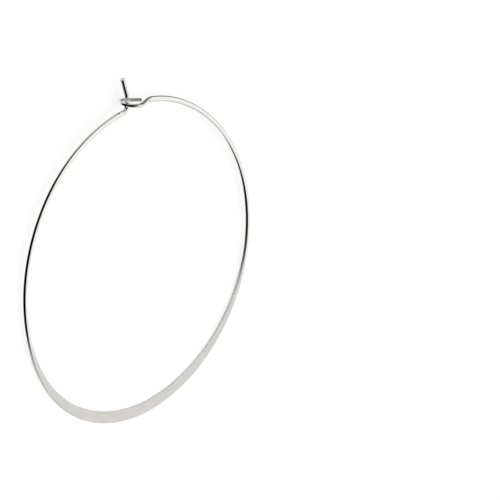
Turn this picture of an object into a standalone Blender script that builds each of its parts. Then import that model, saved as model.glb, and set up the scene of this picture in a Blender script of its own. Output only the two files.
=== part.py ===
"""Hoop earring bent from one silver wire, lying on its side.

The wire starts as a round ear pin, bends into the ring, widens into a forged flat face
at the far side and comes back to a small eye that the pin passes through.
Metres, +Z up. The ring is drawn in its own plane first, with the clasp at the top of
the drawing, and the finished wire is then laid on the ground.
"""
import math

import bmesh
import bpy
from mathutils import Matrix, Vector

# Ring
RING_DIAMETER = 0.052        # to the middle of the wire
RING_STATIONS = 112

# Wire section
SIDE_WIDTH = 0.00074         # narrowest width of the wire's face, at the sides
SIDE_THICKNESS = 0.00060
FACE_WIDTH = 0.00198         # widest width of the forged face, opposite the clasp
FACE_THICKNESS = 0.00028
PRESSED_FROM = 0.75          # share of the flare at which the face is at its full flatness
SECTION_SIDES = 16

# Ear pin
PIN_DIAMETER = 0.00080
PIN_LENGTH = 0.00365         # from the knee to the cut end
PIN_LEAN = math.radians(18.0)    # away from the eye
PIN_ANGLE = math.radians(4.5)    # round the ring from the top of the drawing
STEM_LENGTH = 0.00228        # from the ring's middle line up to the knee
KNEE_RADIUS = 0.0036
PIN_BEND_RADIUS = 0.00120
PIN_BLEND_LENGTH = 0.0022    # round pin to flattened ring
PIN_CHAMFER = 0.00008

# Eye
EYE_WIRE = 0.00066
EYE_SHIFT = 0.00057          # of its centre from the pin, towards its own end of the ring
EYE_FORWARD = 0.00035        # of its centre in front of the ring's plane
EYE_TILT = math.radians(8.5)    # down towards its own end of the ring
EYE_START = math.radians(72.0)
EYE_END = math.radians(291.0)
EYE_CHAMFER = 0.00006
PIN_CLEARANCE = 0.00030      # between the pin and the eye, on the side where they are closest
RING_CLEARANCE = 0.00048     # between the eye and the ring's outer edge below it
TAIL_CLEARANCE = 0.00015     # between the eye's cut end and the neck
NECK_LENGTH = 0.0052         # of ring given up between the eye's centre and the neck
NECK_PULL = 0.0017           # how far the neck keeps each end's direction

# Form of the ring: degrees round from the top on the pin's side, how far the section has
# gone from the side's to the face's, and how far the middle line lies outside the circle
# as a share of the ring's radius.
FORM_COLUMNS = ("degrees", "flare", "outward")
FORM = (
    (0, 0.15, -0.004),
    (20, 0.25, -0.002),
    (36, 0.20, 0.002),
    (60, 0.08, -0.001),
    (84, 0.00, -0.004),
    (104, 0.05, -0.005),
    (120, 0.30, 0.003),
    (134, 0.54, 0.007),
    (148, 0.78, 0.006),
    (162, 0.94, 0.001),
    (180, 1.00, -0.004),
    (198, 0.96, -0.007),
    (212, 0.82, -0.003),
    (226, 0.55, 0.002),
    (240, 0.27, 0.005),
    (256, 0.03, 0.006),
    (276, 0.00, 0.001),
    (300, 0.10, -0.005),
    (318, 0.13, -0.004),
    (330, 0.14, 0.002),
    (342, 0.17, 0.013),
    (356, 0.19, 0.0245),
)

COLOUR = (0.80, 0.79, 0.77, 1.0)
ROUGHNESS = 0.18


def smooth_between(table, columns, name, at):
    """Value of a column at an angle in degrees, by a cubic through the table's rows."""
    x, y = columns.index("degrees"), columns.index(name)
    last = len(table) - 1
    i = max(j for j in range(last) if j == 0 or table[j][x] <= at)
    rows = [table[max(0, min(last, i + k))] for k in (-1, 0, 1, 2)]

    def slope(a, b, c):
        left = (b[y] - a[y]) / (b[x] - a[x]) if b[x] > a[x] else None
        right = (c[y] - b[y]) / (c[x] - b[x]) if c[x] > b[x] else None
        if left is None or right is None:
            return left if right is None else right
        return 0.5 * (left + right)

    span = rows[2][x] - rows[1][x]
    t = (at - rows[1][x]) / span
    m0, m1 = slope(*rows[:3]) * span, slope(*rows[1:]) * span
    h = (2 * t**3 - 3 * t**2 + 1, t**3 - 2 * t**2 + t, 3 * t**2 - 2 * t**3, t**3 - t**2)
    return h[0] * rows[1][y] + h[1] * m0 + h[2] * rows[2][y] + h[3] * m1


def form(name, angle):
    return smooth_between(FORM, FORM_COLUMNS, name, math.degrees(angle))


def ring_point(angle):
    radius = 0.5 * RING_DIAMETER * (1.0 + form("outward", angle))
    return Vector((-radius * math.sin(angle), radius * math.cos(angle), 0.0))


def ring_direction(angle, step=1e-4):
    return (ring_point(angle + step) - ring_point(angle - step)).normalized()


def ring_section(angle):
    flare = min(max(form("flare", angle), 0.0), 1.0)
    width = SIDE_WIDTH + flare * (FACE_WIDTH - SIDE_WIDTH)
    pressed = min(flare / PRESSED_FROM, 1.0)
    return width, SIDE_THICKNESS + pressed * (FACE_THICKNESS - SIDE_THICKNESS)


def blend(a, b, share):
    share = min(max(share, 0.0), 1.0)
    share = share * share * (3.0 - 2.0 * share)
    return tuple(p + share * (q - p) for p, q in zip(a, b))


def bezier(p, q, r, s, t):
    u = 1.0 - t
    return u**3 * p + 3 * u * u * t * q + 3 * u * t * t * r + t**3 * s


def fillet(start, corner, end, radius, steps):
    """Points round a corner on an arc, and how far from the corner the arc begins."""
    back, onward = (start - corner).normalized(), (end - corner).normalized()
    opening = back.angle(onward)
    set_back = radius / math.tan(0.5 * opening)
    centre = corner + (back + onward).normalized() * radius / math.sin(0.5 * opening)
    spoke = corner + back * set_back - centre
    axis = spoke.cross(onward)
    return [centre + Matrix.Rotation((math.pi - opening) * i / steps, 3, axis) @ spoke
            for i in range(steps + 1)], set_back


def wire_stations():
    """Stations down the wire from the pin's cut end: middle point and section."""
    stations = []
    round_pin = (PIN_DIAMETER, PIN_DIAMETER)
    round_eye = (EYE_WIRE, EYE_WIRE)

    def add(point, section):
        stations.append((Vector(point), section))

    # Pin, straight from its cut end, round the knee and down the stem
    corner = ring_point(PIN_ANGLE)
    upright = Vector((0.0, 1.0, 0.0))
    leaning = Vector((-math.sin(PIN_LEAN), math.cos(PIN_LEAN), 0.0))
    knee = corner + upright * STEM_LENGTH
    tip = knee + leaning * PIN_LENGTH
    narrow = PIN_DIAMETER - 2.0 * PIN_CHAMFER
    add(tip, (narrow, narrow))
    add(tip - leaning * PIN_CHAMFER, round_pin)
    knee_points, _ = fillet(tip, knee, corner, KNEE_RADIUS, 4)
    shaft_steps = 3
    for i in range(1, shaft_steps):
        add((tip - leaning * PIN_CHAMFER).lerp(knee_points[0], i / shaft_steps), round_pin)
    for point in knee_points:
        add(point, round_pin)

    # Bend into the ring
    along = ring_direction(PIN_ANGLE)
    bend_points, set_back = fillet(knee, corner, corner + along, PIN_BEND_RADIUS, 9)
    bend_length = PIN_BEND_RADIUS * upright.angle(-along)
    bend_angle = PIN_ANGLE + set_back / (0.5 * RING_DIAMETER)
    for i, point in enumerate(bend_points[:-1]):
        share = i / (len(bend_points) - 1) * bend_length / PIN_BLEND_LENGTH
        add(point, blend(round_pin, ring_section(bend_angle), share))

    # Ring, from the bend down the pin's side, round the forged face and up to the neck
    eye_rise = 0.5 * (ring_section(PIN_ANGLE)[0] + EYE_WIRE) + RING_CLEARANCE
    eye_centre = corner + Vector((EYE_SHIFT, eye_rise, EYE_FORWARD))
    eye_angle = math.atan2(-eye_centre.x, eye_centre.y)
    ring_end = 2.0 * math.pi + eye_angle - NECK_LENGTH / (0.5 * RING_DIAMETER)
    for i in range(RING_STATIONS):
        angle = bend_angle + (ring_end - bend_angle) * i / (RING_STATIONS - 1)
        run = bend_length + (angle - bend_angle) * 0.5 * RING_DIAMETER
        add(ring_point(angle), blend(round_pin, ring_section(angle), run / PIN_BLEND_LENGTH))

    # Neck out of the ring's plane to the front of the eye
    level = Vector((math.cos(EYE_TILT), -math.sin(EYE_TILT), 0.0))
    front = Vector((0.0, 0.0, 1.0))
    eye_radius = math.hypot(EYE_SHIFT, EYE_FORWARD) + PIN_CLEARANCE
    eye_radius += 0.5 * (PIN_DIAMETER + EYE_WIRE)

    def eye_point(angle):
        return eye_centre + eye_radius * (math.cos(angle) * level + math.sin(angle) * front)

    def eye_direction(angle):
        return math.cos(angle) * front - math.sin(angle) * level

    p, s = ring_point(ring_end), eye_point(EYE_START)
    q = p + NECK_PULL * ring_direction(ring_end)
    r = s - NECK_PULL * eye_direction(EYE_START)
    neck_steps = 9
    neck = []
    for i in range(1, neck_steps):
        t = i / neck_steps
        section = blend(ring_section(ring_end), round_eye, 1.2 * t)
        neck.append((bezier(p, q, r, s, t), section))
        add(*neck[-1])

    # Eye, curled round the pin
    eye_steps = 16
    for i in range(eye_steps + 1):
        add(eye_point(EYE_START + (EYE_END - EYE_START) * i / eye_steps), round_eye)

    # Straight cut end of the eye, which runs on until it is close to the neck
    last, onward = eye_point(EYE_END), eye_direction(EYE_END)

    def neck_gap(length):
        end = last + onward * length
        return min((point - end).length - 0.5 * (max(section) + EYE_WIRE)
                   for point, section in neck)

    tail = EYE_WIRE
    while neck_gap(tail) > TAIL_CLEARANCE and tail < 2.0 * eye_radius:
        tail += 0.02 * EYE_WIRE
    add(last + onward * 0.5 * tail, round_eye)
    add(last + onward * (tail - EYE_CHAMFER), round_eye)
    narrow = EYE_WIRE - 2.0 * EYE_CHAMFER
    add(last + onward * tail, (narrow, narrow))
    return stations


def section_outline(width, thickness):
    """Flat faces joined by round edges: offsets across the wire and through it."""
    width = max(width, thickness)
    half = 0.5 * thickness / math.cos(math.pi / SECTION_SIDES)
    inset = 0.5 * thickness
    outline = []
    for k in range(SECTION_SIDES):
        a = 2.0 * math.pi * (k + 0.5) / SECTION_SIDES
        across = math.copysign(0.5 * width - inset, math.cos(a)) + half * math.cos(a)
        outline.append((across, half * math.sin(a)))
    return outline


def loft(stations):
    """Closed mesh swept down the stations, its frame carried along without twisting."""
    points = [s[0] for s in stations]
    bm = bmesh.new()
    rings = []
    through = Vector((0.0, 0.0, 1.0))
    for i, (point, section) in enumerate(stations):
        before, after = points[max(i - 1, 0)], points[min(i + 1, len(points) - 1)]
        arriving = (point - before).normalized() if i else (after - point).normalized()
        leaving = (after - point).normalized() if i < len(points) - 1 else arriving
        tangent = (arriving + leaving).normalized()
        through = (through - tangent * through.dot(tangent)).normalized()
        across = through.cross(tangent)
        rings.append([bm.verts.new(point + across * a + through * b)
                      for a, b in section_outline(*section)])
    for lower, upper in zip(rings, rings[1:]):
        for k in range(SECTION_SIDES):
            n = (k + 1) % SECTION_SIDES
            bm.faces.new((lower[k], lower[n], upper[n], upper[k]))
    bm.faces.new(list(reversed(rings[0])))
    bm.faces.new(rings[-1])
    bmesh.ops.recalc_face_normals(bm, faces=bm.faces)
    return bm


def middle_of_volume(bm):
    total, moment = 0.0, Vector()
    for face in bm.faces:
        a = face.verts[0].co
        for b, c in zip(face.verts[1:], face.verts[2:]):
            part = a.dot(b.co.cross(c.co)) / 6.0
            total += part
            moment += part * (a + b.co + c.co) / 4.0
    return moment / total


def resting_turn(bm):
    """Rotation that lays the wire on the ground the way it rests by itself."""
    middle = middle_of_volume(bm)
    hull = bmesh.new()
    for v in bm.verts:
        hull.verts.new(v.co)
    bmesh.ops.convex_hull(hull, input=hull.verts)
    hull.normal_update()
    best, down = -2.0, Vector((0.0, 0.0, -1.0))
    for face in hull.faces:
        normal, verts = face.normal, [v.co for v in face.verts]
        over = all(normal.dot((b - a).cross(middle - a)) >= 0.0
                   for a, b in zip(verts, verts[1:] + verts[:1]))
        if over and normal.dot(Vector((0.0, 0.0, -1.0))) > best:
            best, down = normal.dot(Vector((0.0, 0.0, -1.0))), normal.copy()
    hull.free()
    return down.rotation_difference(Vector((0.0, 0.0, -1.0))).to_matrix().to_4x4()


def polished_silver():
    material = bpy.data.materials.new("polished_silver")
    material.use_nodes = True
    shader = material.node_tree.nodes["Principled BSDF"]
    shader.inputs["Base Color"].default_value = COLOUR
    shader.inputs["Metallic"].default_value = 1.0
    shader.inputs["Roughness"].default_value = ROUGHNESS
    material.diffuse_color = COLOUR
    return material


def build():
    for old in list(bpy.data.objects):
        bpy.data.objects.remove(old, do_unlink=True)
    collection = bpy.data.collections.new("hoop_earring")
    bpy.context.scene.collection.children.link(collection)

    bm = loft(wire_stations())
    # The drawing turns half round, so that the clasp faces the front, and lies down
    bm.transform(Matrix.Rotation(math.pi, 4, "Z") @ resting_turn(bm))
    low = Vector(min(v.co[i] for v in bm.verts) for i in range(3))
    high = Vector(max(v.co[i] for v in bm.verts) for i in range(3))
    seat = Vector((0.5 * (low.x + high.x), 0.5 * (low.y + high.y), low.z))
    bm.transform(Matrix.Translation(-seat))

    mesh = bpy.data.meshes.new("hoop_wire")
    bm.to_mesh(mesh)
    bm.free()
    mesh.shade_smooth()
    mesh.set_sharp_from_angle(angle=math.radians(50.0))
    mesh.materials.append(polished_silver())
    wire = bpy.data.objects.new("hoop_wire", mesh)
    collection.objects.link(wire)
    return wire


build()
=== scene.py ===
# %% [markdown]
# # A hoop earring bent from one silver wire
# The real earring is 18 cm of silver wire and nothing else. One end is left round and
# straight for the ear. The middle is bent into a ring and pressed flat and wide at the far
# side. The other end is curled into an eye that the pin snaps through.
#
# The measured part comes in first, as a fixed frame. Everything made below has to lie where
# it lies, so its box is kept to compare with at the end.

# %% Load the measured part
import math

import bmesh
import bpy
from mathutils import Matrix, Vector
from mathutils.bvhtree import BVHTree


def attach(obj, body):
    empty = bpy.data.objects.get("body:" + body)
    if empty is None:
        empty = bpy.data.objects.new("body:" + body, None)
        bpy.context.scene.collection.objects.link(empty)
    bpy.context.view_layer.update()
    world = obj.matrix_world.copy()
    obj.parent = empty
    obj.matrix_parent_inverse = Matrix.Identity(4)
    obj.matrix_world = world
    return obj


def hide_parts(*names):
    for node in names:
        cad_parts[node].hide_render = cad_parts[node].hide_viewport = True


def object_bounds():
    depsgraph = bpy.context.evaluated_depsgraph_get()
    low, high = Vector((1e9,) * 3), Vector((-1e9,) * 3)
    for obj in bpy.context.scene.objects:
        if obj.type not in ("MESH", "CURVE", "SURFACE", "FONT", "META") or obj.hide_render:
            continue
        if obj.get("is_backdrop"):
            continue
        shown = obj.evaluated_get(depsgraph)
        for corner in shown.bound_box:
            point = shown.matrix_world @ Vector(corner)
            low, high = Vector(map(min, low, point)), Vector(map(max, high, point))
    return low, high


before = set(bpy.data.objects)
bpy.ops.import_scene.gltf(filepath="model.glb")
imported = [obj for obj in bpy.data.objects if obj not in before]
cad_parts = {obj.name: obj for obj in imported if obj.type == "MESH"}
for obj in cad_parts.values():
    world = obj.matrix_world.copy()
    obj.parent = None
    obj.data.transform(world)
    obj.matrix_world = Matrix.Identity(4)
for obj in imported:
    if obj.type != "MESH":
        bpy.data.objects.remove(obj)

cad_box = [list(corner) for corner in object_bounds()]
print("measured part, mm:", [round(1000 * (b - a), 2) for a, b in zip(*cad_box)])

MM = 0.001

# %% [markdown]
# ## The sizes of the wire
# A jeweller would give this earring as a drawing of the ring seen from the front, with the
# clasp at the top, and a list of sizes. The same is done here. The drawing lies in the XY
# plane with its face towards +Z, and the finished wire is laid on the ground afterwards.
#
# The form table says what the eye sees going round the ring: how far the wire is pressed
# wide, how far it strays from a true circle, because it was bent by hand, and where it was
# rubbed satin.

# %% Sizes
RING_DIAMETER = 52 * MM
SIDE_WIDTH, SIDE_THICKNESS = 0.74 * MM, 0.60 * MM
FACE_WIDTH, FACE_THICKNESS = 1.98 * MM, 0.28 * MM
PRESSED_FROM = 0.75              # flare at which the face is at its full flatness

PIN_DIAMETER, PIN_LENGTH, PIN_CHAMFER = 0.80 * MM, 3.65 * MM, 0.08 * MM
PIN_LEAN, PIN_ANGLE = math.radians(18.0), math.radians(4.5)
STEM_LENGTH, KNEE_RADIUS = 2.28 * MM, 3.6 * MM
PIN_BEND_RADIUS, PIN_BLEND_LENGTH = 1.20 * MM, 2.2 * MM

EYE_WIRE, EYE_CHAMFER = 0.66 * MM, 0.06 * MM
EYE_SHIFT, EYE_FORWARD, EYE_TILT = 0.57 * MM, 0.35 * MM, math.radians(8.5)
EYE_START, EYE_END = math.radians(72), math.radians(291)
PIN_CLEARANCE, RING_CLEARANCE, TAIL_CLEARANCE = 0.30 * MM, 0.48 * MM, 0.15 * MM
NECK_LENGTH, NECK_PULL, NECK_ROUNDING = 5.2 * MM, 1.7 * MM, 1.2   # round after 1 / 1.2 of it

# stops along each stretch of wire, and points round its section
PIN_STOPS, KNEE_STOPS, BEND_STOPS, RING_STOPS = 20, 16, 26, 760
NECK_STOPS, EYE_STOPS, TAIL_STOPS, END_STOPS = 36, 72, 8, 6
EDGE_STEPS, FLAT_STEPS = 12, 8

# degrees round from the top on the pin's side, flare from side (0) to face (1), how far the
# middle line lies outside the circle as a share of the radius, and how satin it was rubbed
FORM_COLUMNS = ("degrees", "flare", "outward", "satin")
FORM = (
    (0, 0.15, -0.004, 0.00),
    (20, 0.25, -0.002, 0.00),
    (36, 0.20, 0.002, 0.00),
    (60, 0.08, -0.001, 0.00),
    (84, 0.00, -0.004, 0.00),
    (104, 0.05, -0.005, 0.05),
    (120, 0.30, 0.003, 0.80),
    (134, 0.54, 0.007, 1.00),
    (148, 0.78, 0.006, 1.00),
    (162, 0.94, 0.001, 1.00),
    (180, 1.00, -0.004, 1.00),
    (198, 0.96, -0.007, 1.00),
    (212, 0.82, -0.003, 1.00),
    (226, 0.55, 0.002, 1.00),
    (240, 0.27, 0.005, 1.00),
    (256, 0.03, 0.006, 0.18),
    (276, 0.00, 0.001, 0.00),
    (300, 0.10, -0.005, 0.00),
    (318, 0.13, -0.004, 0.00),
    (330, 0.14, 0.002, 0.00),
    (342, 0.17, 0.013, 0.00),
    (356, 0.19, 0.0245, 0.00),
)

# %% [markdown]
# ## The ring's middle line
# Straight lines between the rows of the table would show as kinks in polished metal, where
# every small corner breaks a reflection. A cubic curve through the rows has none.

# %% Read the form table smoothly
def form(name, angle):
    """Value of a column of the form table at an angle, by a cubic through its rows."""
    column, at = FORM_COLUMNS.index(name), math.degrees(angle)
    last = len(FORM) - 1
    i = max(j for j in range(last) if j == 0 or FORM[j][0] <= at)
    x, y = ([FORM[max(0, min(last, i + k))][c] for k in (-1, 0, 1, 2)] for c in (0, column))

    def slope(a, b):
        sides = [(y[q] - y[p]) / (x[q] - x[p]) for p, q in (a, b) if x[q] > x[p]]
        return sum(sides) / len(sides)

    span = x[2] - x[1]
    t = (at - x[1]) / span
    m0, m1 = slope((0, 1), (1, 2)) * span, slope((1, 2), (2, 3)) * span
    return ((2 * t**3 - 3 * t**2 + 1) * y[1] + (t**3 - 2 * t**2 + t) * m0
            + (3 * t**2 - 2 * t**3) * y[2] + (t**3 - t**2) * m1)


def flare_at(angle):
    return min(max(form("flare", angle), 0.0), 1.0)


def satin_at(angle):
    return min(max(form("satin", angle), 0.0), 1.0)


def ring_point(angle):
    radius = 0.5 * RING_DIAMETER * (1.0 + form("outward", angle))
    return Vector((-radius * math.sin(angle), radius * math.cos(angle), 0.0))


def ring_direction(angle, step=1e-4):
    return (ring_point(angle + step) - ring_point(angle - step)).normalized()


print("ring, mm across:", round(1000 * (ring_point(math.pi / 2) - ring_point(1.5 * math.pi)).length, 2))

# %% [markdown]
# ## Walking down the wire
# The wire could be three objects joined up: a pin, a ring and an eye. But it is one wire, and
# light runs along it without a break, so its middle line is made in one walk from the pin's
# cut end to the eye's cut end. Each stop notes where it is, how flared the ring is there, how
# round the wire still is, the gauge of the round wire, and how satin it is.

# %% Helpers for bends
def eased(share):
    share = min(max(share, 0.0), 1.0)
    return share * share * (3.0 - 2.0 * share)


def bezier(p, q, r, s, t):
    u = 1.0 - t
    return u**3 * p + 3 * u * u * t * q + 3 * u * t * t * r + t**3 * s


def arc_round(start, corner, end, radius, steps):
    """Points round a corner, and how far from the corner the arc begins."""
    back, onward = (start - corner).normalized(), (end - corner).normalized()
    opening = back.angle(onward)
    set_back = radius / math.tan(0.5 * opening)
    centre = corner + (back + onward).normalized() * radius / math.sin(0.5 * opening)
    spoke = corner + back * set_back - centre
    axis = spoke.cross(onward)
    return [centre + Matrix.Rotation((math.pi - opening) * i / steps, 3, axis) @ spoke
            for i in range(steps + 1)], set_back


# %% The walk, first half: pin, bend and ring
stops = []                       # middle point, flare, roundness, gauge, satin


def stop(point, flare, roundness, gauge, satin=0.0):
    stops.append((Vector(point), flare, roundness, gauge, satin))


def rounded_end(tip, inward, chamfer, gauge, flare):
    """Stops over a cut end whose edge is rounded over, from the flat to the full wire."""
    ends = []
    for i in range(END_STOPS + 1):
        turn = 0.5 * math.pi * i / END_STOPS
        ends.append((tip + inward * chamfer * (1.0 - math.cos(turn)), flare, 1.0,
                     gauge - 2.0 * chamfer * (1.0 - math.sin(turn))))
    return ends


corner = ring_point(PIN_ANGLE)
upright = Vector((0.0, 1.0, 0.0))
leaning = Vector((-math.sin(PIN_LEAN), math.cos(PIN_LEAN), 0.0))
knee = corner + upright * STEM_LENGTH
tip = knee + leaning * PIN_LENGTH
pin_flare = flare_at(PIN_ANGLE)
for end in rounded_end(tip, -leaning, PIN_CHAMFER, PIN_DIAMETER, pin_flare):
    stop(*end)
knee_points, _ = arc_round(tip, knee, corner, KNEE_RADIUS, KNEE_STOPS)
full_wire = tip - leaning * PIN_CHAMFER
for i in range(1, PIN_STOPS):
    stop(full_wire.lerp(knee_points[0], i / PIN_STOPS), pin_flare, 1.0, PIN_DIAMETER)
for point in knee_points:
    stop(point, pin_flare, 1.0, PIN_DIAMETER)

along = ring_direction(PIN_ANGLE)
bend_points, set_back = arc_round(knee, corner, corner + along, PIN_BEND_RADIUS, BEND_STOPS)
bend_length = PIN_BEND_RADIUS * upright.angle(-along)
bend_angle = PIN_ANGLE + set_back / (0.5 * RING_DIAMETER)
for i, point in enumerate(bend_points[:-1]):
    share = i / BEND_STOPS * bend_length / PIN_BLEND_LENGTH
    stop(point, flare_at(bend_angle), 1.0 - eased(share), PIN_DIAMETER)

ring_gauge = SIDE_WIDTH + pin_flare * (FACE_WIDTH - SIDE_WIDTH)
eye_rise = 0.5 * (ring_gauge + EYE_WIRE) + RING_CLEARANCE
eye_centre = corner + Vector((EYE_SHIFT, eye_rise, EYE_FORWARD))
over_eye = 2.0 * math.pi + math.atan2(-eye_centre.x, eye_centre.y)
ring_end = over_eye - NECK_LENGTH / (0.5 * RING_DIAMETER)
for i in range(RING_STOPS):
    angle = bend_angle + (ring_end - bend_angle) * i / (RING_STOPS - 1)
    run = bend_length + (angle - bend_angle) * 0.5 * RING_DIAMETER
    stop(ring_point(angle), flare_at(angle), 1.0 - eased(run / PIN_BLEND_LENGTH), PIN_DIAMETER,
         satin_at(angle))
print("stops as far as the neck:", len(stops))

# %% The walk, second half: neck, eye and its cut end
level = Vector((math.cos(EYE_TILT), -math.sin(EYE_TILT), 0.0))
front = Vector((0.0, 0.0, 1.0))
eye_radius = math.hypot(EYE_SHIFT, EYE_FORWARD) + PIN_CLEARANCE + 0.5 * (PIN_DIAMETER + EYE_WIRE)


def eye_point(angle):
    return eye_centre + eye_radius * (math.cos(angle) * level + math.sin(angle) * front)


def eye_direction(angle):
    return math.cos(angle) * front - math.sin(angle) * level


start, finish = ring_point(ring_end), eye_point(EYE_START)
leave = start + NECK_PULL * ring_direction(ring_end)
arrive = finish - NECK_PULL * eye_direction(EYE_START)
end_flare, neck_from = flare_at(ring_end), len(stops)
for i in range(1, NECK_STOPS):
    t = i / NECK_STOPS
    stop(bezier(start, leave, arrive, finish, t), end_flare, eased(NECK_ROUNDING * t), EYE_WIRE)
neck = stops[neck_from:]
for i in range(EYE_STOPS + 1):
    stop(eye_point(EYE_START + (EYE_END - EYE_START) * i / EYE_STOPS), end_flare, 1.0, EYE_WIRE)


def ring_width(flare, roundness, gauge):
    width = SIDE_WIDTH + flare * (FACE_WIDTH - SIDE_WIDTH)
    return width + roundness * (gauge - width)


def neck_gap(length):
    """Room between the neck and a cut end that is this far beyond the eye's last point."""
    end = eye_point(EYE_END) + eye_direction(EYE_END) * length
    return min((point - end).length - 0.5 * (ring_width(flare, roundness, gauge) + EYE_WIRE)
               for point, flare, roundness, gauge, _ in neck)


tail = EYE_WIRE
while neck_gap(tail) > TAIL_CLEARANCE and tail < 2.0 * eye_radius:
    tail += 0.02 * EYE_WIRE
last, onward = eye_point(EYE_END), eye_direction(EYE_END)
for i in range(1, TAIL_STOPS):
    stop(last + onward * (tail - EYE_CHAMFER) * i / TAIL_STOPS, end_flare, 1.0, EYE_WIRE)
for end in reversed(rounded_end(last + onward * tail, -onward, EYE_CHAMFER, EYE_WIRE, end_flare)):
    stop(*end)
length = sum((b[0] - a[0]).length for a, b in zip(stops, stops[1:]))
print("stops:", len(stops), " wire, mm long:", round(1000 * length, 1))

# %% [markdown]
# ## The line that carries the notes
# Blender can sweep a section along a curve, but a curve only knows one radius at each point.
# A chain of edges can hold any number of named values, and the node tree turns it into a
# curve itself. One of the values is the direction through the thin side of the wire. It is
# carried along from stop to stop without twisting, as the metal itself was.

# %% Chain of edges with named values
def wire_line(name, stops):
    points = [s[0] for s in stops]
    mesh = bpy.data.meshes.new(name)
    mesh.from_pydata([tuple(p) for p in points], [(i, i + 1) for i in range(len(points) - 1)], [])
    through, carried, far = Vector((0.0, 0.0, 1.0)), [], [0.0]
    for i, point in enumerate(points):
        before, after = points[max(i - 1, 0)], points[min(i + 1, len(points) - 1)]
        tangent = (after - before).normalized()
        through = (through - tangent * through.dot(tangent)).normalized()
        carried.append((tangent.copy(), through.copy()))
        if i:
            far.append(far[-1] + (point - points[i - 1]).length)
    numbers = {"flare": [s[1] for s in stops], "roundness": [s[2] for s in stops],
               "gauge": [s[3] for s in stops], "satin": [s[4] for s in stops], "travelled": far}
    for key, values in numbers.items():
        mesh.attributes.new(key, "FLOAT", "POINT").data.foreach_set("value", values)
    for key, which in (("heading", 0), ("through", 1)):
        flat = [c for pair in carried for c in pair[which]]
        mesh.attributes.new(key, "FLOAT_VECTOR", "POINT").data.foreach_set("vector", flat)
    made = bpy.data.objects.new(name, mesh)
    bpy.context.scene.collection.objects.link(made)
    return made


wire = wire_line("silver_wire", stops)
print("values on the line:", [a.name for a in wire.data.attributes if not a.name.startswith(".")])

# %% [markdown]
# ## The tree that draws the wire
# This tree is the jeweller's draw plate and press in one. At each stop it works out a section
# from the notes: a round one at the pin and the eye, and two flats joined by round edges
# round the ring. Curve to Mesh makes the skin, and Set Position then puts every point where
# its own place in the section says. The sizes are inputs, so that a wider or a thinner hoop
# is a matter of changing one number.

# %% Helpers for node trees
def put(tree, kind, sockets=None, **settings):
    """Adds a node, sets it up, and joins or fills its inputs."""
    made = tree.nodes.new(kind)
    for key, value in settings.items():
        setattr(made, key, value)
    for key, value in (sockets or {}).items():
        if isinstance(value, bpy.types.NodeSocket):
            tree.links.new(value, made.inputs[key])
        else:
            made.inputs[key].default_value = value
    return made


def calc(tree, operation, *values, clamp=False):
    """One step of arithmetic on numbers or sockets."""
    return put(tree, "ShaderNodeMath", dict(enumerate(values)), operation=operation,
               use_clamp=clamp).outputs[0]


def mixed(tree, share, a, b):
    """a where share is 0, b where it is 1."""
    return calc(tree, "ADD", a, calc(tree, "MULTIPLY", share, calc(tree, "SUBTRACT", b, a)))


def scaled(tree, vector, factor):
    return put(tree, "ShaderNodeVectorMath", {0: vector, "Scale": factor}, operation="SCALE").outputs[0]


def vector_sum(tree, a, b):
    return put(tree, "ShaderNodeVectorMath", {0: a, 1: b}, operation="ADD").outputs[0]


def declare(tree, direction, names):
    for name, kind, value in names:
        socket = tree.interface.new_socket(name, in_out=direction, socket_type="NodeSocket" + kind)
        if value is not None:
            socket.default_value = value


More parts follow.
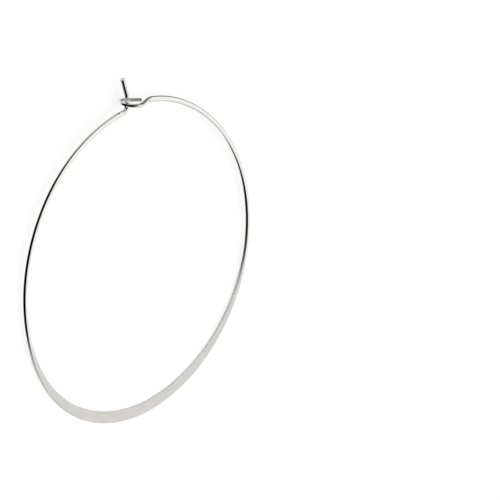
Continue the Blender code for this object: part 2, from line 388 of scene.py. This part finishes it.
# %% Build the wire-drawing tree
def wire_drawing_tree():
    tree = bpy.data.node_groups.new("draw_and_press_wire", "GeometryNodeTree")
    declare(tree, "INPUT", (
        ("Geometry", "Geometry", None),
        ("Side Width", "Float", SIDE_WIDTH), ("Side Thickness", "Float", SIDE_THICKNESS),
        ("Face Width", "Float", FACE_WIDTH), ("Face Thickness", "Float", FACE_THICKNESS),
        ("Pressed From", "Float", PRESSED_FROM),
        ("Edge Steps", "Int", EDGE_STEPS), ("Flat Steps", "Int", FLAT_STEPS),
        ("Material", "Material", None)))
    declare(tree, "OUTPUT", (("Geometry", "Geometry", None),))
    given = tree.nodes.new("NodeGroupInput").outputs

    def note(name, kind="FLOAT"):
        return put(tree, "GeometryNodeInputNamedAttribute", {"Name": name},
                   data_type=kind).outputs["Attribute"]

    # The section's width and thickness at each stop
    flare, roundness, gauge = note("flare"), note("roundness"), note("gauge")
    pressed = calc(tree, "DIVIDE", flare, given["Pressed From"], clamp=True)
    flared = mixed(tree, flare, given["Side Width"], given["Face Width"])
    thinned = mixed(tree, pressed, given["Side Thickness"], given["Face Thickness"])
    thick = mixed(tree, roundness, thinned, gauge)
    width = calc(tree, "MAXIMUM", mixed(tree, roundness, flared, gauge), thick)

    # The section's own points: round edges, and flats between them
    half_count = calc(tree, "ADD", given["Edge Steps"], given["Flat Steps"])
    circle = put(tree, "GeometryNodeCurvePrimitiveCircle",
                 {"Resolution": calc(tree, "MULTIPLY", half_count, 2.0), "Radius": 1.0})
    index = put(tree, "GeometryNodeInputIndex").outputs[0]
    second = calc(tree, "FLOOR", calc(tree, "DIVIDE", calc(tree, "ADD", index, 0.5), half_count))
    step = calc(tree, "SUBTRACT", index, calc(tree, "MULTIPLY", second, half_count))
    round_share = calc(tree, "DIVIDE", step, given["Edge Steps"], clamp=True)
    flat_share = calc(tree, "DIVIDE", calc(tree, "SUBTRACT", step, given["Edge Steps"]),
                      given["Flat Steps"], clamp=True)
    half_turns = calc(tree, "SUBTRACT", calc(tree, "ADD", round_share, second), 0.5)
    turn = calc(tree, "MULTIPLY", half_turns, math.pi)
    side = calc(tree, "MULTIPLY", calc(tree, "SUBTRACT", 1.0, calc(tree, "MULTIPLY", second, 2.0)),
                calc(tree, "SUBTRACT", 1.0, calc(tree, "MULTIPLY", flat_share, 2.0)))
    section = put(tree, "GeometryNodeCaptureAttribute", {"Geometry": circle.outputs[0]})
    section.capture_items.new("FLOAT", "turn")
    section.capture_items.new("FLOAT", "side")
    tree.links.new(turn, section.inputs["turn"])
    tree.links.new(side, section.inputs["side"])

    # The skin, carried along the line with every value that it needs
    path = put(tree, "GeometryNodeMeshToCurve", {"Mesh": given["Geometry"]})
    held = put(tree, "GeometryNodeCaptureAttribute", {"Geometry": path.outputs[0]})
    for kind, name, value in (("VECTOR", "middle", put(tree, "GeometryNodeInputPosition").outputs[0]),
                              ("FLOAT", "width", width), ("FLOAT", "thick", thick)):
        held.capture_items.new(kind, name)
        tree.links.new(value, held.inputs[name])
    skin = put(tree, "GeometryNodeCurveToMesh", {
        "Curve": held.outputs["Geometry"], "Profile Curve": section.outputs["Geometry"],
        "Fill Caps": True})

    # Each point to its place in the section
    turn, side = section.outputs["turn"], section.outputs["side"]
    width, thick = held.outputs["width"], held.outputs["thick"]
    edge = calc(tree, "MULTIPLY", thick, 0.5)
    to_edge = calc(tree, "SUBTRACT", calc(tree, "MULTIPLY", width, 0.5), edge)
    sideways = calc(tree, "ADD", calc(tree, "MULTIPLY", side, to_edge),
                    calc(tree, "MULTIPLY", edge, calc(tree, "COSINE", turn)))
    upwards = calc(tree, "MULTIPLY", edge, calc(tree, "SINE", turn))
    through = note("through", "FLOAT_VECTOR")
    across = put(tree, "ShaderNodeVectorMath", {0: through, 1: note("heading", "FLOAT_VECTOR")},
                 operation="CROSS_PRODUCT").outputs[0]
    place = vector_sum(tree, held.outputs["middle"],
                       vector_sum(tree, scaled(tree, across, sideways), scaled(tree, through, upwards)))
    placed = put(tree, "GeometryNodeSetPosition", {"Geometry": skin.outputs[0], "Position": place})

    # What the finish reads besides the satin share: a place that follows the wire, and its edges
    follow = put(tree, "ShaderNodeCombineXYZ", {0: note("travelled"), 1: sideways, 2: upwards})
    rim = calc(tree, "ABSOLUTE", calc(tree, "COSINE", turn))
    made = placed.outputs[0]
    for name, kind, value in (("wire_place", "FLOAT_VECTOR", follow.outputs[0]), ("rim", "FLOAT", rim)):
        made = put(tree, "GeometryNodeStoreNamedAttribute",
                   {"Geometry": made, "Name": name, "Value": value},
                   data_type=kind, domain="POINT").outputs[0]
    made = put(tree, "GeometryNodeRealizeInstances", {"Geometry": made}).outputs[0]
    made = put(tree, "GeometryNodeSetMaterial",
               {"Geometry": made, "Material": given["Material"]}).outputs[0]
    put(tree, "NodeGroupOutput", {"Geometry": made})
    return tree


drawing = wire_drawing_tree()
print("nodes in the wire-drawing tree:", len(drawing.nodes))

# %% [markdown]
# ## Two finishes on one metal
# The clasp, the pin and the sides are polished: they are nearly a mirror, and show as white
# and black lines. The forged flat has been through the press and rubbed along its length,
# which leaves a satin grey. It is one piece of silver, so it is one material. The satin share
# in the form table was carried along the line to the skin, and decides how much of each finish
# shows. Satin is a fine roughness that also scatters part of the light all ways, so there the
# material is a little less of a mirror.
#
# The fine lines are drawn in the wire's own coordinate: far along the wire, a little across
# it. A pattern on plain object coordinates would run straight through the ring instead of
# following it round.

# %% Shader group: fine lines along the wire
PATCHES_PER_METRE = 900.0


def drawn_lines_group():
    tree = bpy.data.node_groups.new("drawn_lines", "ShaderNodeTree")
    declare(tree, "INPUT", (("Place", "Vector", None), ("Line Width", "Float", 0.05 * MM),
                            ("Line Length", "Float", 3.0 * MM), ("Seed", "Float", 0.0)))
    declare(tree, "OUTPUT", (("Lines", "Float", None), ("Patches", "Float", None)))
    given = tree.nodes.new("NodeGroupInput").outputs
    parts = put(tree, "ShaderNodeSeparateXYZ", {0: given["Place"]}).outputs
    fine = calc(tree, "DIVIDE", 1.0, given["Line Width"])
    stretched = put(tree, "ShaderNodeCombineXYZ", {
        0: calc(tree, "ADD", calc(tree, "DIVIDE", parts[0], given["Line Length"]), given["Seed"]),
        1: calc(tree, "MULTIPLY", parts[1], fine), 2: calc(tree, "MULTIPLY", parts[2], fine)}).outputs[0]
    lines = put(tree, "ShaderNodeTexNoise", {"Vector": stretched, "Scale": 1.0, "Detail": 3.0,
                                             "Roughness": 0.6})
    patches = put(tree, "ShaderNodeTexNoise", {"Vector": given["Place"], "Scale": PATCHES_PER_METRE,
                                               "Detail": 2.0, "Roughness": 0.55})
    put(tree, "NodeGroupOutput", {"Lines": lines.outputs[0], "Patches": patches.outputs[0]})
    return tree


# %% The silver
POLISH_COLOUR = (0.915, 0.910, 0.895, 1)
SATIN_DARK, SATIN_LIGHT = (0.660, 0.645, 0.617, 1), (0.788, 0.770, 0.738, 1)
POLISH_ROUGHNESS, SATIN_ROUGHNESS, RIM_ROUGHER, PATCHINESS = 0.055, 0.42, 0.45, 0.10
# share of the light that satin scatters all ways, and how much more of it on its edges
SATIN_SCATTER, RIM_SCATTER = 0.40, 0.16
# width, length and seed of the drawn lines, coarse and fine
GRAIN_LINES, HAIR_LINES = (0.11 * MM, 3.0 * MM, 0.0), (0.02 * MM, 1.2 * MM, 7.3)
RELIEF, RELIEF_DEPTH = 0.35, 0.01 * MM
RELIEF_ON_POLISH = 0.1           # share of the relief that is left where it is polished


def shader_mix(tree, share, a, b, kind="FLOAT"):
    made = put(tree, "ShaderNodeMix", data_type=kind)
    a_socket, b_socket, out = {"FLOAT": (2, 3, 0), "RGBA": (6, 7, 2)}[kind]
    for key, value in ((0, share), (a_socket, a), (b_socket, b)):
        if isinstance(value, bpy.types.NodeSocket):
            tree.links.new(value, made.inputs[key])
        else:
            made.inputs[key].default_value = value
    return made.outputs[out]


def silver(lines_group):
    material = bpy.data.materials.new("drawn_silver")
    material.use_nodes = True
    tree = material.node_tree
    shader = tree.nodes["Principled BSDF"]

    place = put(tree, "ShaderNodeAttribute", attribute_name="wire_place").outputs["Vector"]
    satin = put(tree, "ShaderNodeAttribute", attribute_name="satin").outputs["Fac"]
    rim = put(tree, "ShaderNodeAttribute", attribute_name="rim").outputs["Fac"]
    grain = put(tree, "ShaderNodeGroup", node_tree=lines_group)
    hair = put(tree, "ShaderNodeGroup", node_tree=lines_group)
    for node, numbers in ((grain, GRAIN_LINES), (hair, HAIR_LINES)):
        tree.links.new(place, node.inputs["Place"])
        for key, value in zip(("Line Width", "Line Length", "Seed"), numbers):
            node.inputs[key].default_value = value

    # Satin is a little darker and warmer than the polish, and every line in it differs a bit
    lines = put(tree, "ShaderNodeMapRange", {"Value": grain.outputs["Lines"],
                                             "From Min": 0.3, "From Max": 0.7}).outputs[0]
    satin_colour = shader_mix(tree, lines, SATIN_DARK, SATIN_LIGHT, "RGBA")
    colour = shader_mix(tree, satin, POLISH_COLOUR, satin_colour, "RGBA")
    tree.links.new(colour, shader.inputs["Base Color"])

    # Satin reaches its full roughness early, and its rubbed edges are rougher still
    rubbed = calc(tree, "MULTIPLY", satin, 2.0, clamp=True)
    rubbed_rim = calc(tree, "MULTIPLY", rim, satin)
    patchy = calc(tree, "MULTIPLY", calc(tree, "SUBTRACT", grain.outputs["Patches"], 0.5), PATCHINESS)
    polish_rough = calc(tree, "ADD", POLISH_ROUGHNESS, calc(tree, "MULTIPLY", patchy, 0.3))
    satin_rough = calc(tree, "ADD", patchy, calc(tree, "ADD", SATIN_ROUGHNESS,
                                                 calc(tree, "MULTIPLY", rubbed_rim, RIM_ROUGHER)))
    scatter = calc(tree, "ADD", calc(tree, "MULTIPLY", satin, SATIN_SCATTER),
                   calc(tree, "MULTIPLY", rubbed_rim, RIM_SCATTER))
    tree.links.new(calc(tree, "SUBTRACT", 1.0, scatter), shader.inputs["Metallic"])
    tree.links.new(shader_mix(tree, rubbed, polish_rough, satin_rough), shader.inputs["Roughness"])

    height = calc(tree, "ADD", calc(tree, "MULTIPLY", grain.outputs["Lines"], 0.7),
                  calc(tree, "MULTIPLY", hair.outputs["Lines"], 0.3))
    height = calc(tree, "MULTIPLY", height, mixed(tree, satin, RELIEF_ON_POLISH, 1.0))
    bump = put(tree, "ShaderNodeBump", {"Height": height, "Strength": RELIEF,
                                        "Distance": RELIEF_DEPTH})
    tree.links.new(bump.outputs[0], shader.inputs["Normal"])
    return material


lines_group = drawn_lines_group()
silver_finish = silver(lines_group)
print("finish:", silver_finish.name)

# %% [markdown]
# ## Draw the wire
# The modifier's inputs are set before Blender works it out for the first time. The result is
# then turned into a plain mesh, because the part has to stand without its tree.

# %% Run the tree and keep its mesh
def baked(thing, tree, **inputs):
    modifier = thing.modifiers.new(tree.name, "NODES")
    modifier.node_group = tree
    known = {item.name: item.identifier for item in tree.interface.items_tree
             if item.item_type == "SOCKET" and item.in_out == "INPUT"}
    for name, value in inputs.items():
        modifier[known[name.replace("_", " ")]] = value
    name = thing.name
    result = bpy.data.meshes.new_from_object(thing.evaluated_get(bpy.context.evaluated_depsgraph_get()))
    thing.modifiers.clear()
    old, thing.data = thing.data, result
    bpy.data.meshes.remove(old)
    result.name = name
    return result


mesh = baked(wire, drawing, Material=silver_finish, Edge_Steps=EDGE_STEPS, Flat_Steps=FLAT_STEPS)
bm = bmesh.new()
bm.from_mesh(mesh)
volume = bm.calc_volume(signed=True)
print("triangles:", sum(len(f.verts) - 2 for f in bm.faces),
      " volume, cubic mm:", round(volume * 1e9, 2),
      " open edges:", sum(1 for e in bm.edges if len(e.link_faces) != 2))

# %% [markdown]
# ## Lay it on the ground
# A loose earring lies on three points: the eye, which sticks out behind the ring, and two
# places on the ring. The convex hull finds them. Its facet under the centre of mass is the
# one that ends up flat on the table. The part was laid down by the same rule, so the drawn
# wire and the measured solid should agree to a hundredth of a millimetre.

# %% Rest it by its hull
SHARP_FROM = math.radians(40.0)  # only the edges of the cut ends turn further


def middle_of_volume(bm):
    total, moment = 0.0, Vector()
    for face in bm.faces:
        a = face.verts[0].co
        for b, c in zip(face.verts[1:], face.verts[2:]):
            part = a.dot(b.co.cross(c.co)) / 6.0
            total += part
            moment += part * (a + b.co + c.co) / 4.0
    return moment / total


def resting_turn(bm):
    middle = middle_of_volume(bm)
    hull = bmesh.new()
    for v in bm.verts:
        hull.verts.new(v.co)
    bmesh.ops.convex_hull(hull, input=hull.verts)
    hull.normal_update()
    ground = Vector((0.0, 0.0, -1.0))
    best, down = -2.0, ground
    for face in hull.faces:
        normal, corners = face.normal, [v.co for v in face.verts]
        over = all(normal.dot((b - a).cross(middle - a)) >= 0.0
                   for a, b in zip(corners, corners[1:] + corners[:1]))
        if over and normal.dot(ground) > best:
            best, down = normal.dot(ground), normal.copy()
    hull.free()
    return down.rotation_difference(ground).to_matrix().to_4x4()


def corners_of(bm):
    return [Vector(pick(v.co[i] for v in bm.verts) for i in range(3)) for pick in (min, max)]


lay = Matrix.Rotation(math.pi, 4, "Z") @ resting_turn(bm)
bm.transform(lay)
low, high = corners_of(bm)
seat = Matrix.Translation(-Vector((0.5 * (low.x + high.x), 0.5 * (low.y + high.y), low.z)))
bm.transform(seat)
lay = seat @ lay
if volume < 0:
    bmesh.ops.reverse_faces(bm, faces=bm.faces)
bm.to_mesh(mesh)
mesh.shade_smooth()
mesh.set_sharp_from_angle(angle=SHARP_FROM)

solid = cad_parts["hoop_wire"]
skin_of_solid = BVHTree.FromPolygons([v.co for v in solid.data.vertices],
                                     [p.vertices for p in solid.data.polygons])
away = [skin_of_solid.find_nearest(v.co)[3] for v in bm.verts]
print("leans by, degrees:", round(math.degrees(math.acos(lay[2][2])), 3),
      " furthest from the solid, mm:", round(1000 * max(away), 3),
      " on average:", round(1000 * sum(away) / len(away), 4))
bm.free()

# %% Hand it to the frame
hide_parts("hoop_wire")
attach(wire, "root")

# %% [markdown]
# ## A pale floor
# Jewellery is shown on plain white. Paper on a light table glows a little, so it stays white
# and takes only a faint shadow. Polished metal would mirror it too and lose its dark lines, so
# reflections are left to the studio round it.

# %% The floor
FLOOR_REACH = 6.0                # from its middle, so that no edge shows from low down
FLOOR_WHITE, FLOOR_GLOW = 0.30, 0.70


def pale_floor():
    bm = bmesh.new()
    bmesh.ops.create_grid(bm, x_segments=1, y_segments=1, size=FLOOR_REACH)
    mesh = bpy.data.meshes.new("pale_floor")
    bm.to_mesh(mesh)
    bm.free()
    made = bpy.data.objects.new("pale_floor", mesh)
    bpy.context.scene.collection.objects.link(made)
    material = bpy.data.materials.new("pale_paper")
    material.use_nodes = True
    shader = material.node_tree.nodes["Principled BSDF"]
    shader.inputs["Base Color"].default_value = (FLOOR_WHITE, FLOOR_WHITE, FLOOR_WHITE, 1)
    shader.inputs["Emission Color"].default_value = (1, 1, 1, 1)
    shader.inputs["Emission Strength"].default_value = FLOOR_GLOW
    shader.inputs["Roughness"].default_value = 1.0
    shader.inputs["Specular IOR Level"].default_value = 0.0
    mesh.materials.append(material)
    made.visible_glossy = False
    return made


floor = pale_floor()
floor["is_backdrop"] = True
print("floor laid at z =", floor.location.z)

# %% [markdown]
# ## Light
# A jeweller's light tent is white all round, with one dark gap on the camera's side, where the
# room shows. Metal with nothing dark to mirror looks like plaster. The dark gap is what draws
# the black lines down the round sides of the wire.
#
# The tent is painted on the world: white, less one soft-edged opening and a few dark or grey
# cards. Only reflections see it. The floor is lit by an even pale sky and one big soft lamp
# overhead.

# %% The tent
def toward(azimuth, elevation):
    a, e = math.radians(azimuth), math.radians(elevation)
    return Vector((math.sin(a) * math.cos(e), -math.cos(a) * math.cos(e), math.sin(e)))


# degrees round from the clasp's side, degrees up, size to each side, fade beyond it, how light
OPENING = {"at": (83, -6), "half": (43, 27), "fade": (40, 52), "level": 0.0}
DARK_CARDS = (
    {"at": (38, 52), "radius": 25, "fade": 60, "level": 0.0},
    {"at": (127, 46), "radius": 41, "fade": 8, "level": 0.0},
    {"at": (208, 34), "radius": 15, "fade": 10, "level": 0.5},
    {"at": (296, -15), "radius": 8, "fade": 54, "level": 0.12},
    {"at": (230, -4), "radius": 5, "fade": 14, "level": 0.35},
)
TENT_WHITE = 0.95
JUST_UNDER_ONE = 0.99999         # keeps rounding from taking an arc sine or cosine out of its range
SKY_STRENGTH = 1.06
LAMP_POWER, LAMP_SIZE, LAMP_AT, LAMP_AWAY = 0.5, 0.6, (240, 62), 0.8


def faded(tree, angle, size, fade, start, end):
    """start within size degrees, end beyond size + fade, and a soft edge between."""
    return put(tree, "ShaderNodeMapRange", {
        "Value": angle, "From Min": math.radians(size), "From Max": math.radians(size + fade),
        "To Min": start, "To Max": end}, interpolation_type="SMOOTHSTEP").outputs[0]


def light_tent():
    world = bpy.data.worlds.new("light_tent")
    bpy.context.scene.world = world
    world.use_nodes = True
    tree = world.node_tree
    tree.nodes.clear()
    looking = put(tree, "ShaderNodeTexCoord").outputs["Generated"]
    x, y, z = put(tree, "ShaderNodeSeparateXYZ", {0: looking}).outputs

    # The opening: a soft-edged rectangle, measured sideways and upwards
    ahead = toward(OPENING["at"][0], 0)
    forwards = calc(tree, "ADD", calc(tree, "MULTIPLY", x, ahead.x), calc(tree, "MULTIPLY", y, ahead.y))
    sideways = calc(tree, "SUBTRACT", calc(tree, "MULTIPLY", x, ahead.y),
                    calc(tree, "MULTIPLY", y, ahead.x))
    round_by = calc(tree, "ABSOLUTE", calc(tree, "ARCTAN2", sideways, forwards))
    height = calc(tree, "ARCSINE", calc(tree, "MULTIPLY", z, JUST_UNDER_ONE))
    up_by = calc(tree, "ABSOLUTE", calc(tree, "SUBTRACT", height, math.radians(OPENING["at"][1])))
    (half_width, half_height), (fade_round, fade_up) = OPENING["half"], OPENING["fade"]
    inside = calc(tree, "MULTIPLY", faded(tree, round_by, half_width, fade_round, 1.0, 0.0),
                  faded(tree, up_by, half_height, fade_up, 1.0, 0.0))
    white = mixed(tree, inside, TENT_WHITE, TENT_WHITE * OPENING["level"])

    # The dark cards: soft-edged rounds
    for card in DARK_CARDS:
        nearness = put(tree, "ShaderNodeVectorMath", {0: looking, 1: toward(*card["at"])},
                       operation="DOT_PRODUCT").outputs["Value"]
        angle = calc(tree, "ARCCOSINE", calc(tree, "MULTIPLY", nearness, JUST_UNDER_ONE))
        dimmed = faded(tree, angle, card["radius"], card["fade"], card["level"], 1.0)
        white = calc(tree, "MULTIPLY", white, dimmed)

    ray = put(tree, "ShaderNodeLightPath").outputs
    tent = put(tree, "ShaderNodeBackground", {"Color": (1, 1, 1, 1), "Strength": white}).outputs[0]
    sky = put(tree, "ShaderNodeBackground", {"Color": (1, 1, 1, 1), "Strength": SKY_STRENGTH}).outputs[0]
    both = put(tree, "ShaderNodeMixShader", {0: ray["Is Glossy Ray"], 1: sky, 2: tent}).outputs[0]
    put(tree, "ShaderNodeOutputWorld", {"Surface": both})
    return world


def soft_lamp():
    light = bpy.data.lights.new("soft_lamp", "AREA")
    light.shape, light.size, light.energy = "DISK", LAMP_SIZE, LAMP_POWER
    made = bpy.data.objects.new("soft_lamp", light)
    bpy.context.scene.collection.objects.link(made)
    made.location = toward(*LAMP_AT) * LAMP_AWAY
    made.rotation_mode = "QUATERNION"
    made.rotation_quaternion = made.location.to_track_quat("Z", "Y")
    made.visible_glossy = made.visible_camera = False
    return made


tent = light_tent()
lamp = soft_lamp()
bpy.context.scene.view_settings.view_transform = "Standard"
print("world:", tent.name, " lamp, m away:", round(lamp.location.length, 2))

# %% [markdown]
# ## Camera
# Small things are photographed from far off with a long lens, which shows them with hardly any
# perspective. The camera here has none. It is placed in the drawing, where the clasp is at the
# top: 47 degrees round from the ring's face and 21 degrees above its middle, held upright.
# Laid on the ground with the wire, the same camera looks down at 41 degrees from beside the
# clasp and is rolled over, so that the ring still stands on end in the picture.

# %% The camera
VIEW_ROUND, VIEW_ABOVE = math.radians(46.87), math.radians(20.70)
DISTANCE, PICTURE_WIDTH, PIXELS_PER_METRE = 1.5, 500, 6266.2
OFF_CENTRE = (18.22 * MM, 1.46 * MM)     # of the picture's middle from the ring's, right and up


def aimed_camera():
    data = bpy.data.cameras.new("camera")
    made = bpy.data.objects.new("camera", data)
    bpy.context.scene.collection.objects.link(made)
    data.type, data.ortho_scale = "ORTHO", PICTURE_WIDTH / PIXELS_PER_METRE
    in_drawing = Vector((-math.sin(VIEW_ROUND) * math.cos(VIEW_ABOVE), math.sin(VIEW_ABOVE),
                         math.cos(VIEW_ROUND) * math.cos(VIEW_ABOVE)))
    back = lay.to_3x3() @ in_drawing
    upright = lay.to_3x3() @ Vector((0.0, 1.0, 0.0))
    upward = (upright - back * back.dot(upright)).normalized()
    rightward = upward.cross(back)
    aim = lay.translation + rightward * OFF_CENTRE[0] + upward * OFF_CENTRE[1]
    turned = Matrix((rightward, upward, back)).transposed().to_4x4()
    made.matrix_world = Matrix.Translation(aim + back * DISTANCE) @ turned
    data.clip_start, data.clip_end = 0.05, 30.0
    bpy.context.scene.camera = made
    return made


camera = aimed_camera()
seen_from = camera.matrix_world.col[2]
print("camera, degrees above the floor:", round(math.degrees(math.asin(seen_from.z)), 1),
      " picture, mm wide:", round(1000 * camera.data.ortho_scale, 1))

# %% Compare with the measured box and finish
new_box = [list(corner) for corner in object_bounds()]
past = [max(cad_box[0][i] - new_box[0][i], new_box[1][i] - cad_box[1][i]) for i in range(3)]
print("stands out of the measured box, mm:", [round(1000 * p, 3) for p in past])
